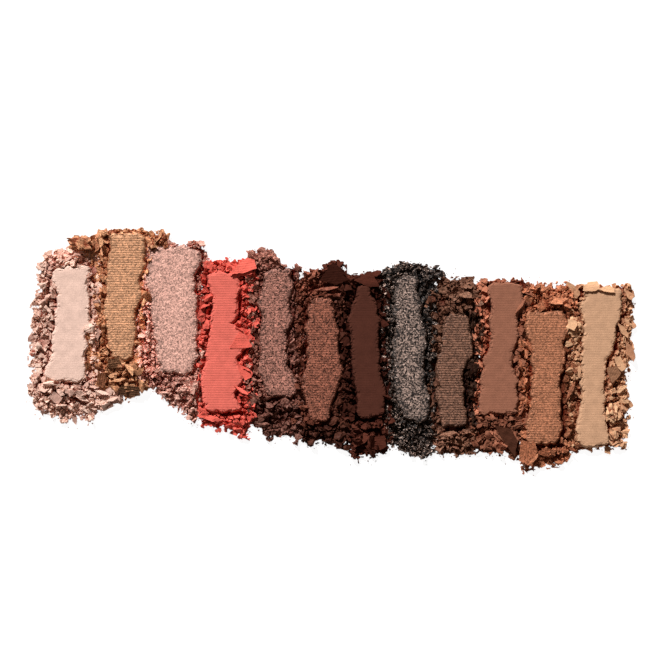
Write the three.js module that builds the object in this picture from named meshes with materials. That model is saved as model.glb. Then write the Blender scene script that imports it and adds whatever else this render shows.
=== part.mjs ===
// A row of twelve pressed-powder eyeshadow shades, laid side by side out of their case.
//
// Every shade is one ribbed strip of pressed powder. The powder that broke off as the strips were
// laid down stands round them in banks: one past each strip's head, one past its foot, and one along
// each long side, shared with the next shade. Larger flakes lie on top of the banks.
//
// Millimetres. +X runs along the row from the palest shade to the beige one, +Y points to the heads
// of the strips and +Z up. Every strip and bank stands on z = 0, and the origin is at the middle of
// the row's underside.

import * as THREE from 'three';

// Driving dimensions.
const STRIP_THICKNESS = 2.4;
const STRIP_EDGE = 0.5; // chamfer along the top of a strip's head and foot
const RIB_PITCH = 0.7;
const RIB_DEPTH = 0.12;
const BANK_HEIGHT = 2.6;
const BANK_SLOPE = 0.9; // how far a bank's top edge stands back from its base
const CHUNK = 3; // size of the lumps on a bank
const BANK_ROUGHNESS = 0.4; // the share of a bank's height and slope that varies from lump to lump
const OUTER_BANK_WIDTH = 5.2;
const FLAKE_THICKNESS = 1.1;
const CORNER_SPREAD = 0.4; // how far a flake's corner may turn from its even place, as a share of a step
const CORNER_CUT = 0.15; // how far in from the flake's full size a corner may lie, as a share
const CLEARANCE = 0.3; // between neighbouring pieces
const FLAKE_BASE = BANK_HEIGHT + CLEARANCE; // height of a flake's lowest corner

const FINISHES = {
  matte: { roughness: 0.9, metalness: 0 },
  shimmer: { roughness: 0.5, metalness: 0.35 },
  glitter: { roughness: 0.35, metalness: 0.6 },
};

// One line per shade, along the row. x and y are the middle of the strip; head and foot are its widths
// there; lean is how far its head stands towards +X of its foot; past is how far the crumbled powder
// reaches beyond the head and the foot. A ribbed shade carries the weave that it was pressed through.
const SHADES = [
  { name: 'pale_pink', colour: 0xeec6b4, finish: 'matte', ribbed: true,
    x: -76, y: 7, length: 33.5, head: 9.5, foot: 11.5, lean: 2, past: [5, 10] },
  { name: 'gold', colour: 0xc48e6b, finish: 'shimmer', ribbed: true,
    x: -60.5, y: 15, length: 37, head: 11, foot: 7, lean: 1, past: [1.5, 10.5] },
  { name: 'rose', colour: 0xd5a190, finish: 'shimmer', ribbed: false,
    x: -46, y: 11, length: 37.5, head: 13, foot: 13, lean: 0, past: [2.5, 10.5] },
  { name: 'coral', colour: 0xe47061, finish: 'matte', ribbed: true,
    x: -30.5, y: 2, length: 40.5, head: 11, foot: 11, lean: 0, past: [5.5, 7] },
  { name: 'rose_bronze', colour: 0x966658, finish: 'shimmer', ribbed: true,
    x: -16, y: 4.5, length: 37.5, head: 10.5, foot: 10.5, lean: 0, past: [6, 11.5] },
  { name: 'copper', colour: 0x814f3f, finish: 'shimmer', ribbed: true,
    x: -2.5, y: -3.5, length: 36.5, head: 10, foot: 10, lean: 0, past: [7, 6.5] },
  { name: 'chocolate', colour: 0x512e24, finish: 'matte', ribbed: false,
    x: 10, y: -1, length: 38, head: 10, foot: 10, lean: -1.5, past: [5, 10.5] },
  { name: 'black', colour: 0x705f57, finish: 'glitter', ribbed: false,
    x: 23, y: 0, length: 43, head: 11.5, foot: 11.5, lean: -1, past: [4, 9.5] },
  { name: 'taupe', colour: 0x725141, finish: 'shimmer', ribbed: true,
    x: 36, y: -6.5, length: 33, head: 10.5, foot: 10.5, lean: 0, past: [11, 7.5] },
  { name: 'rosewood', colour: 0x94614c, finish: 'matte', ribbed: false,
    x: 49.5, y: 0, length: 38.5, head: 9, foot: 10.5, lean: 2, past: [1.5, 11] },
  { name: 'terracotta', colour: 0xa76d50, finish: 'shimmer', ribbed: true,
    x: 62.5, y: -8.5, length: 38.5, head: 12, foot: 12, lean: 0, past: [8.5, 7.5] },
  { name: 'beige', colour: 0xcb9e7c, finish: 'matte', ribbed: true,
    x: 77, y: -5.5, length: 46, head: 10.5, foot: 10, lean: 2.5, past: [1.5, 1.5] },
];

// The larger flakes: their shade, middle, length, width, number of corners, turn about Z in degrees
// and tilt about their own length in degrees.
const FLAKES = [
  { name: 'gold_corner_flake', shade: 'gold',
    at: [-72, 30.5], size: [7.5, 4], corners: 5, turn: 10, tilt: 4 },
  { name: 'gold_head_chunk', shade: 'gold',
    at: [-50, 31], size: [6, 5.5], corners: 6, turn: 60, tilt: 8 },
  { name: 'gold_foot_flake', shade: 'gold',
    at: [-62, -5], size: [5, 4], corners: 6, turn: 20, tilt: 6 },
  { name: 'rose_foot_chunk', shade: 'rose',
    at: [-40, -11.5], size: [5, 4.5], corners: 5, turn: -30, tilt: 8 },
  { name: 'coral_head_flake', shade: 'coral',
    at: [-25.5, 23.5], size: [7.5, 4], corners: 5, turn: -15, tilt: 5 },
  { name: 'coral_side_flake', shade: 'coral',
    at: [-25, 2.5], size: [6, 5.5], corners: 4, turn: 35, tilt: 8 },
  { name: 'rose_bronze_head_chunk', shade: 'rose_bronze',
    at: [-19.5, 26], size: [8.5, 5], corners: 6, turn: 5, tilt: 6 },
  { name: 'chocolate_head_flake', shade: 'chocolate',
    at: [1, 22], size: [7.5, 5.5], corners: 5, turn: -40, tilt: 8 },
  { name: 'chocolate_foot_flake', shade: 'chocolate',
    at: [13, -27], size: [6, 3.5], corners: 5, turn: -20, tilt: 6 },
  { name: 'rosewood_foot_flake', shade: 'rosewood',
    at: [50, -25.5], size: [8.5, 7], corners: 4, turn: 75, tilt: 5 },
  { name: 'beige_side_chunk', shade: 'beige',
    at: [70.5, 6.5], size: [5.5, 5], corners: 6, turn: 15, tilt: 8 },
];

// A repeatable number from 0 to 1 for a place, so that vertices at one place always move together.
function noise(a, b, c, seed) {
  const wave = Math.sin(a * 127.1 + b * 311.7 + c * 74.7 + seed * 53.3) * 43758.5453;
  return wave - Math.floor(wave);
}

// How much of its full height or slope a bank has at one of its lumps.
function lumpy(across, along, axis, seed) {
  return 1 - BANK_ROUGHNESS + BANK_ROUGHNESS * noise(across, along, axis, seed);
}

function moveVertices(geometry, move) {
  const places = geometry.attributes.position;
  for (let i = 0; i < places.count; i += 1) {
    const place = new THREE.Vector3().fromBufferAttribute(places, i);
    move(place);
    places.setXYZ(i, place.x, place.y, place.z);
  }
  geometry.computeVertexNormals();
  return geometry;
}

function powder(shade) {
  return new THREE.MeshStandardMaterial({ color: shade.colour, ...FINISHES[shade.finish] });
}

// The x of a shade's left or right edge line at any y, carried on past the ends of the strip.
function edgeX(shade, side, y) {
  const along = (y - shade.y) / shade.length;
  const width = THREE.MathUtils.lerp(shade.foot, shade.head, THREE.MathUtils.clamp(along + 0.5, 0, 1));
  return shade.x + shade.lean * along + side * width / 2;
}

const headY = (shade) => shade.y + shade.length / 2;
const footY = (shade) => shade.y - shade.length / 2;

// A strip seen from its long side: flat underneath, chamfered at both ends, with ribs along the top.
function stripProfile(shade) {
  const end = shade.length / 2;
  const crest = STRIP_THICKNESS;
  const profile = new THREE.Shape();
  profile.moveTo(-end, 0);
  profile.lineTo(end, 0);
  profile.lineTo(end, crest - STRIP_EDGE);
  profile.lineTo(end - STRIP_EDGE, crest);
  if (shade.ribbed) {
    const ribs = Math.floor((shade.length - 2 * STRIP_EDGE) / RIB_PITCH) - 1;
    for (let rib = 0; rib < ribs; rib += 1) {
      const y = ribs * RIB_PITCH / 2 - rib * RIB_PITCH;
      profile.lineTo(y, crest);
      profile.lineTo(y - RIB_PITCH / 2, crest - RIB_DEPTH);
    }
  }
  profile.lineTo(STRIP_EDGE - end, crest);
  profile.lineTo(-end, crest - STRIP_EDGE);
  return profile;
}

function makeStrip(shade) {
  const geometry = new THREE.ExtrudeGeometry(stripProfile(shade), { depth: 1, bevelEnabled: false });
  geometry.translate(0, 0, -0.5);
  const profileToRow = new THREE.Matrix4().makeBasis(
    new THREE.Vector3(0, 1, 0),
    new THREE.Vector3(0, 0, 1),
    new THREE.Vector3(1, 0, 0),
  );
  geometry.applyMatrix4(profileToRow);
  moveVertices(geometry, (place) => {
    place.x = edgeX(shade, 2 * place.x, place.y + shade.y) - shade.x;
  });
  const mesh = new THREE.Mesh(geometry, powder(shade));
  mesh.name = `${shade.name}_strip`;
  mesh.position.set(shade.x, shade.y, 0);
  return mesh;
}

// A bank of crumbled powder over a four-sided plan, which left(y) and right(y) bound between the two
// ends in y. Its vertices only ever move inwards from the plan, so neighbours keep their clearance.
function makeBank(name, shade, left, right, foot, head, seed) {
  const length = head - foot;
  const width = right((foot + head) / 2) - left((foot + head) / 2);
  const rows = Math.max(2, Math.round(length / CHUNK));
  const columns = Math.max(2, Math.round(width / CHUNK));
  const geometry = new THREE.BoxGeometry(1, 1, 1, columns, rows, 1);
  moveVertices(geometry, (place) => {
    const rise = place.z + 0.5;
    const across = 2 * place.x;
    const along = 2 * place.y;
    const inX = Math.min(BANK_SLOPE, width / 4) * rise * lumpy(across, along, 1, seed);
    const inY = Math.min(BANK_SLOPE, length / 4) * rise * lumpy(across, along, 2, seed);
    const y = foot + (along + 1) / 2 * length - inY * along;
    const narrow = 1 - (2 * inX) / width;
    place.z = rise * BANK_HEIGHT * lumpy(across, along, 3, seed);
    place.x = THREE.MathUtils.lerp(left(y), right(y), (across * narrow + 1) / 2);
    place.y = y;
  });
  const mesh = new THREE.Mesh(geometry, powder(shade));
  mesh.name = name;
  return mesh;
}

function makeEndBanks(shade, seed) {
  const left = (y) => edgeX(shade, -1, y);
  const right = (y) => edgeX(shade, 1, y);
  const [pastHead, pastFoot] = shade.past;
  const head = headY(shade);
  const foot = footY(shade);
  return [
    makeBank(`${shade.name}_head_bank`, shade, left, right, head + CLEARANCE, head + pastHead, seed),
    makeBank(`${shade.name}_foot_bank`, shade, left, right, foot - pastFoot, foot - CLEARANCE, seed + 0.5),
  ];
}

// The bank along the side where two shades meet, from the lower foot to the higher head.
function makeSeamBank(shade, next, seed) {
  const left = (y) => edgeX(shade, 1, y) + CLEARANCE;
  const right = (y) => edgeX(next, -1, y) - CLEARANCE;
  const foot = Math.min(footY(shade), footY(next));
  const head = Math.max(headY(shade), headY(next));
  return makeBank(`${shade.name}_${next.name}_bank`, shade, left, right, foot, head, seed);
}

// The bank along the outer side of the first shade (side -1) or the last one (side 1).
function makeOuterBank(shade, side, seed) {
  const inner = (y) => edgeX(shade, side, y) + side * CLEARANCE;
  const outer = (y) => edgeX(shade, side, y) + side * OUTER_BANK_WIDTH;
  const [left, right] = side < 0 ? [outer, inner] : [inner, outer];
  return makeBank(`${shade.name}_outer_bank`, shade, left, right, footY(shade), headY(shade), seed);
}

// A flake of pressed powder: an uneven polygon of even thickness, tilted as it landed.
function makeFlake(flake, seed) {
  const outline = [];
  for (let corner = 0; corner < flake.corners; corner += 1) {
    const angle = (corner + CORNER_SPREAD * noise(corner, 0, 0, seed)) / flake.corners * 2 * Math.PI;
    const reach = 1 - CORNER_CUT * (1 - noise(corner, 1, 0, seed));
    outline.push(new THREE.Vector2(
      Math.cos(angle) * reach * flake.size[0] / 2,
      Math.sin(angle) * reach * flake.size[1] / 2,
    ));
  }
  const geometry = new THREE.ExtrudeGeometry(new THREE.Shape(outline), {
    depth: FLAKE_THICKNESS,
    bevelEnabled: false,
  });
  const tilt = THREE.MathUtils.degToRad(flake.tilt);
  geometry.rotateX(tilt);
  geometry.rotateZ(THREE.MathUtils.degToRad(flake.turn));
  geometry.computeBoundingBox();
  const shade = SHADES.find((other) => other.name === flake.shade);
  const mesh = new THREE.Mesh(geometry, powder(shade));
  mesh.name = flake.name;
  mesh.position.set(flake.at[0], flake.at[1], FLAKE_BASE - geometry.boundingBox.min.z);
  return mesh;
}

// Moves the row so that its box is centred over the origin.
function centreOverOrigin(row) {
  const middle = new THREE.Box3().setFromObject(row).getCenter(new THREE.Vector3());
  for (const mesh of row.children) {
    mesh.position.x -= middle.x;
    mesh.position.y -= middle.y;
  }
}

// Each piece's last argument is its own seed, so that no two break up alike.
const group = new THREE.Group();
SHADES.forEach((shade, place) => {
  group.add(makeStrip(shade), ...makeEndBanks(shade, place));
});
SHADES.slice(1).forEach((next, place) => {
  group.add(makeSeamBank(SHADES[place], next, place + 0.25));
});
group.add(makeOuterBank(SHADES.at(0), -1, 20));
group.add(makeOuterBank(SHADES.at(-1), 1, 21));
FLAKES.forEach((flake, place) => {
  group.add(makeFlake(flake, 30 + place));
});
centreOverOrigin(group);

export default group;
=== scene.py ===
"""Twelve pressed-powder eyeshadow shades laid in a row, each a ribbed strip in its own crumbled powder.

Shapes are worked out in millimetres in the row's frame and written as meshes in metres. The strips'
corners, how far their banks reach and where the largest flakes lie come from the CAD nodes. Other large
flakes have places of their own, and small flakes and crumbs lie at random from fixed seeds.
"""

import itertools
import math
from dataclasses import dataclass
from functools import partial

import bmesh
import bpy
import numpy as np
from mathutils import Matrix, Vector


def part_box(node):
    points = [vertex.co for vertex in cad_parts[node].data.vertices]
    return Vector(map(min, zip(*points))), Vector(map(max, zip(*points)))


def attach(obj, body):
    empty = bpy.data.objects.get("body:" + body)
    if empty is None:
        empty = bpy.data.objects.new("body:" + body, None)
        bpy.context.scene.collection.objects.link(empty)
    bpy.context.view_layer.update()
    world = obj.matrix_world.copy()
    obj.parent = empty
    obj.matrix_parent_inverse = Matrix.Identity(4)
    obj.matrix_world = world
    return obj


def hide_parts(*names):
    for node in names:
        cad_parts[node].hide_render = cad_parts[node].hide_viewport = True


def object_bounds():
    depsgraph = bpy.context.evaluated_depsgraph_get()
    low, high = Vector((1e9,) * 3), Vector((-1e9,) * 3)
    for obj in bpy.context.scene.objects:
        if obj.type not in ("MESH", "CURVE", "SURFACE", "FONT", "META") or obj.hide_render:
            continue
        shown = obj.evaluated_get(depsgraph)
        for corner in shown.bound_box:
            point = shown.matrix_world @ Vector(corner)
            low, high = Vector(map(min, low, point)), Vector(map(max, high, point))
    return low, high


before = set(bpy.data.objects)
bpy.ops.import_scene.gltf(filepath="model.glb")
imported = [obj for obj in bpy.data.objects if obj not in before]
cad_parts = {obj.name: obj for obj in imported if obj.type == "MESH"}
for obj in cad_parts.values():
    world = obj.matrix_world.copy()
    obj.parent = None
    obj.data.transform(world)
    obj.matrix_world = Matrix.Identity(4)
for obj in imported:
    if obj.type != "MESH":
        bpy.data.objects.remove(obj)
cad_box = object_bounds()

MM = 0.001
BODY = "root"

# Pressed face: the pitch and height of its ribs and threads, the steps of its grid, and by finish how high
# its grain stands and how much its edges fade. Its walls are a few rough levels, and unless it has broken
# back it reaches EDGE_COVER past the CAD strip's straight sides. LINE_STEP is the step along traced lines.
RIB_PITCH = 0.7
THREAD_PITCH = 0.46
ROW_STEP = 0.1
COLUMN_STEP = 0.17
RIB_HEIGHT = 0.016
THREAD_HEIGHT = 0.008
GRAIN_HEIGHT = {"matte": 0.011, "shimmer": 0.025, "sparkle": 0.034, "glitter": 0.065}
EDGE_FADING = {"matte": 0.0, "shimmer": 0.2, "sparkle": 0.4, "glitter": 1.0}
WALL_LEVELS = 5
WALL_ROUGHNESS = 0.22
EDGE_COVER = 0.4
LINE_STEP = 0.1

# Broken crust of a bank: the size of its fragments, from large to small, and the step of its grid. Then
# how far the outer banks reach, the share of the way out that a border with a neighbour counts as, and the
# least width of a bank.
SLUMP = 3.8
FRAGMENT = 2.0
SPLINTER = 0.6
CRUST_STEP = 0.17
OUTER_REACH = 4.6
SEAM_SHARE = 0.66
NARROWEST = 1.4


@dataclass
class CrumbKind:
    """One kind of loose crumb, in millimetres.

    density is how many lie on a square millimetre of a bank, and size how small and how large they are.
    copies is how many different ones of each form there are, cuts and roughness how finely and how much
    their faces are broken up, and thinness their height as a share of the usual. stray is how far past a
    bank's end they lie, as a share of the bank, and overlap how far in on the pressed face.
    """

    density: float
    size: tuple
    copies: int
    cuts: int
    roughness: float
    stray: float
    overlap: float = 0.7
    thinness: float = 1.0


CRUMB_KINDS = {
    "plate": CrumbKind(0.15, (2.3, 4.4), 16, 4, 0.07, stray=-0.06, overlap=-0.3, thinness=0.62),
    "chunk": CrumbKind(0.18, (1.4, 2.3), 14, 3, 0.08, stray=0.01, overlap=0.2),
    "crumb": CrumbKind(0.32, (0.8, 1.4), 18, 2, 0.07, stray=0.03),
    "grain": CrumbKind(0.55, (0.4, 0.8), 16, 1, 0.05, stray=0.07),
    "dust": CrumbKind(1.0, (0.18, 0.4), 10, 0, 0.0, stray=0.12),
}

# How far above the pressed face a crumb may stand.
CRUMB_HEADROOM = 0.8

# How far below a bank's level its powder gets its deepest painted shade.
PAINTED_SHADE_DEPTH = 2.0

# How much the flecks of a shade's crumbs differ in brightness.
USUAL_SPARKLE = 0.46


@dataclass
class Shade:
    """How one shade looks.

    colour is sRGB bytes of its pressed face, and finish matte, shimmer, sparkle or glitter. ribs is the
    height of its ribs as a share of the usual, and wear how far they are worn away, from 0 to 1. crumb
    is the size of its crumbs as a share of the usual, and flaky how many of them are flat. flakes is how
    many small flakes lie past its foot; half as many lie past its head and at its sides. left and right
    tell how far the pressed face has broken back from its straight edges, in millimetres, at even steps
    from foot to head. sparkle is how much the flecks of a shimmer or sparkle face differ in brightness.
    glow is how bright its crumbs are against its pressed face, but for glitter: partly their own colour and
    partly a painted sheen. The head, foot and side glows are shares of that: painted light and shade past
    its head, painted shadow past its foot, and on its left and right partly its neighbours' powder mixed in
    and partly painted light and shade in the seams. hollow is how deep its banks are dug out. reach is the
    share of the CAD banks' length that powder covers past the head and past the foot, and slant how much
    more of it on the right.
    """

    name: str
    colour: tuple
    finish: str
    ribs: float
    wear: float
    crumb: float
    flaky: float
    flakes: int
    left: tuple
    right: tuple
    sparkle: float = USUAL_SPARKLE
    glow: float = 1.0
    head_painted_light: float = 1.0
    foot_painted_shadow: float = 1.0
    side_mix_and_shade: tuple = (1.0, 1.0)
    hollow: float = 1.0
    reach: tuple = (0.9, 1.0)
    slant: tuple = (0.0, 0.0)


SHADES = [
    Shade("pale_pink", (240, 204, 187), "matte", 0.3, 0.5, 1.0, 0.8, 9,
          (0.5, 0.8, 1.8, 1.5, 1.5, 1.7, 1.4, 0.6, -0.6), (-0.3, -0.4, 0, 0, -1, -0.9, 0, 0.3, 0),
          head_painted_light=1.1, foot_painted_shadow=0.9, side_mix_and_shade=(0.91, 1), reach=(0.95, 1.05), slant=(0, 0.1)),
    Shade("gold", (205, 152, 115), "shimmer", 1.6, 0.1, 1.05, 0.8, 11,
          (2.5, 1, 0.5, -1, 1, 0.5, 1.5, 2, 1), (0, 0, -0.5, 0.5, -1.5, 0.5, -1, -1.5, 0),
          sparkle=0.5, foot_painted_shadow=0.88, side_mix_and_shade=(1.05, 1.3), reach=(0.6, 0.95)),
    Shade("rose", (225, 175, 159), "sparkle", 0.0, 0.0, 0.75, 0.3, 2,
          (4, 3, 2.2, 1.6, 1.4, 0, -0.5, 0.5, 1.5), (1, -1, 0, -1, -0.5, 0, 0, -1.5, -1),
          sparkle=0.5, foot_painted_shadow=0.84, side_mix_and_shade=(1.25, 0.95), hollow=0.7, reach=(0.45, 0.82),
          slant=(-0.3, 0.6)),
    Shade("coral", (230, 114, 100), "matte", 1.25, 0.2, 1.0, 0.8, 8,
          (0.5, -0.5, -0.3, 0, 0.8, 1.5, 2.6, 2, 0.5), (0, 3, 0, 2.5, -1, 3.5, 2, 1.5, 1.5),
          foot_painted_shadow=0.95, side_mix_and_shade=(0.95, 1.05), reach=(0.68, 0.85), slant=(0, 0.3)),
    Shade("rose_bronze", (162, 112, 98), "sparkle", 0.8, 0.3, 0.7, 0.3, 2,
          (4, 2, 0.5, 1, 1.5, 2, 1, 2, 3.5), (0, -0.5, 2, 2, 2, 1, 1, 0.5, 1),
          sparkle=0.9, head_painted_light=1.1, foot_painted_shadow=0.5, side_mix_and_shade=(1, 0.7), hollow=1.1,
          reach=(0.5, 1.02), slant=(-0.9, 0.15)),
    Shade("copper", (139, 85, 67), "shimmer", 1.3, 0.3, 0.85, 0.5, 5,
          (3, 1, 0, 0, 1, 1.5, 1, 1.5, 3), (3.5, 2.5, 1, -0.5, -0.5, 0, 0.5, 2, 2.5),
          sparkle=0.85, foot_painted_shadow=0.25, side_mix_and_shade=(0.75, 0.38), hollow=1.3, reach=(1.0, 0.93)),
    Shade("chocolate", (82, 46, 36), "matte", 0.7, 0.8, 0.9, 0.7, 6,
          (2.4, 2.4, 2.2, 1.4, 1.4, 1.8, 0.8, 3, 4), (0.6, 0.6, 0.4, 0.7, 1.2, 0.7, 0.7, 1.7, 3),
          glow=1.25, foot_painted_shadow=0.8, side_mix_and_shade=(0.5, 0.6), hollow=1.4, reach=(0.9, 1.05),
          slant=(0, -0.1)),
    Shade("black", (112, 95, 87), "glitter", 0.8, 0.3, 0.65, 0.1, 0,
          (5, 2, 1.6, 1.5, 1, 2.3, 1.5, 2.5, 3.7), (1.2, 1, 1.4, 2.2, 1.5, 1.5, 2.4, 3.2, 3.2),
          side_mix_and_shade=(1.1, 0.55), reach=(0.88, 1.0), slant=(0.15, 0)),
    Shade("taupe", (121, 86, 69), "shimmer", 2.4, 0.35, 0.9, 0.5, 6,
          (1.5, 1, 0.5, 0, 0.5, 1, 1.5, 2, 3), (2, 2.6, 3.1, 3.4, 3.1, 0.6, 0.2, 1, 2.3),
          sparkle=0.7, glow=1.2, head_painted_light=0.87, side_mix_and_shade=(0.65, 0.22), hollow=1.3, reach=(0.95, 1.15)),
    Shade("rosewood", (152, 101, 80), "matte", 0.65, 0.4, 0.9, 0.7, 6,
          (-0.5, -0.5, 0, 0.3, 1.4, 1.8, 1.6, 1, 0.5), (-0.5, 0, 0.5, 2, 1.0, 0.2, 0.2, -1.2, -0.3),
          glow=1.2, foot_painted_shadow=0.6, side_mix_and_shade=(1.55, 0.8), hollow=0.8, reach=(0.4, 1.05)),
    Shade("terracotta", (178, 118, 87), "shimmer", 1.5, 0.1, 0.9, 0.7, 7,
          (0.3, 0.5, 1.8, 1.8, 2.2, 2.2, 2, 0.5, 0.5), (3.5, 2.3, 2.3, 2.3, 2.3, 0.8, 1.5, -0.3, 1),
          glow=1.15, foot_painted_shadow=0.8, side_mix_and_shade=(0.95, 0.6), hollow=1.2, reach=(0.95, 0.88),
          slant=(0, -0.25)),
    Shade("beige", (204, 160, 127), "matte", 0.6, 0.5, 0.95, 0.8, 11,
          (0.5, 0.7, 1.3, 1.3, 1.3, 1.3, 0.8, 0.6, 2), (1.2, 1.5, 2.8, 2.6, 2.8, 0.8, 0.3, -0.7, -0.8),
          glow=1.1, head_painted_light=1.15, side_mix_and_shade=(0.85, 0.95), hollow=1.0, reach=(0.6, 0.5)),
]


# ---------------------------------------------------------------- random numbers and noise
# A small number added to a seed only keeps one noise apart from the next.


def lattice(cells, seed):
    """A repeatable number from -1 to 1 for each whole-numbered cell."""
    mixed = cells[..., 0] * 73856093 ^ cells[..., 1] * 19349663 ^ cells[..., 2] * 83492791
    mixed = mixed ^ (seed * 40503 + 977)
    mixed = ((mixed ^ (mixed >> 13)) * 1274126177) & 0xFFFFFFFF
    mixed = mixed ^ (mixed >> 15)
    return (mixed & 0xFFFFF) / 0x7FFFF - 1.0


def smooth_noise(points, size, seed):
    """Smooth numbers from -1 to 1 at points (n, 3), with features about size across."""
    scaled = points / size
    base = np.floor(scaled).astype(np.int64)
    part = scaled - base
    ease = part * part * (3 - 2 * part)
    total = np.zeros(len(points))
    for corner in itertools.product((0, 1), repeat=3):
        corner = np.array(corner)
        weight = np.prod(np.where(corner == 1, ease, 1 - ease), axis=1)
        total += weight * lattice(base + corner, seed)
    return total


def fractal(points, size, seed, octaves=3):
    """Smooth noise with finer and weaker noise added, about -1 to 1."""
    total = np.zeros(len(points))
    for octave in range(octaves):
        total += smooth_noise(points, size / 2**octave, seed + 31 * octave) / 2**octave
    return total / 1.5


def plan_noise(x, y, size, seed):
    """Fractal noise over places in plan, in the shape of x."""
    points = np.stack([x, y, np.zeros_like(x)], axis=-1).reshape(-1, 3)
    return fractal(points, size, seed).reshape(x.shape)


def line_noise(along, size, seed, octaves=3):
    """Fractal noise along one coordinate."""
    along = np.asarray(along, float)
    points = np.stack([along, np.full_like(along, 0.37), np.full_like(along, 0.61)], axis=-1)
    return fractal(points.reshape(-1, 3), size, seed, octaves).reshape(along.shape)


def broken_line(along, step, amount, rng):
    """An angular random line: straight runs of about step between random offsets."""
    count = int(np.ptp(along) / step) + 3
    stations = np.min(along) + np.cumsum(rng.uniform(0.4, 1.6, count) * step) - step
    return np.interp(along, stations, rng.uniform(-amount, amount, count))


def smoothstep(low, high, value):
    """0 at low, 1 at high and smooth between; low may be the larger."""
    share = np.clip((value - low) / (high - low), 0, 1)
    return share * share * (3 - 2 * share)


def fragments(x, y, size, seed):
    """Splits the plane into many-cornered fragments of about the given size.

    Returns, for each point, a measure that is 0 on a crack and grows away from it, and its fragment's
    cell and middle.
    """
    column, row = np.floor(x / size), np.floor(y / size)
    first = np.full(x.shape, np.inf)
    second = np.full(x.shape, np.inf)
    own = np.zeros((*x.shape, 3), dtype=np.int64)
    middle_x, middle_y = np.zeros_like(x), np.zeros_like(y)
    for step_x, step_y in itertools.product((-1, 0, 1), repeat=2):
        cell = np.stack([column + step_x, row + step_y, np.zeros_like(row)], axis=-1).astype(np.int64)
        here_x = (cell[..., 0] + 0.5 + 0.45 * lattice(cell, seed)) * size
        here_y = (cell[..., 1] + 0.5 + 0.45 * lattice(cell, seed + 1)) * size
        distance = np.hypot(x - here_x, y - here_y)
        nearer = distance < first
        second = np.where(nearer, first, np.minimum(second, distance))
        first = np.where(nearer, distance, first)
        own[nearer] = cell[nearer]
        middle_x = np.where(nearer, here_x, middle_x)
        middle_y = np.where(nearer, here_y, middle_y)
    return second - first, own, middle_x, middle_y


def tilted(cell, from_middle_x, from_middle_y, seed):
    """Height of places on fragments that each tilt their own way, with slopes up to 1."""
    return lattice(cell, seed) * from_middle_x + lattice(cell, seed + 1) * from_middle_y


# ---------------------------------------------------------------- where things lie


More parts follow.
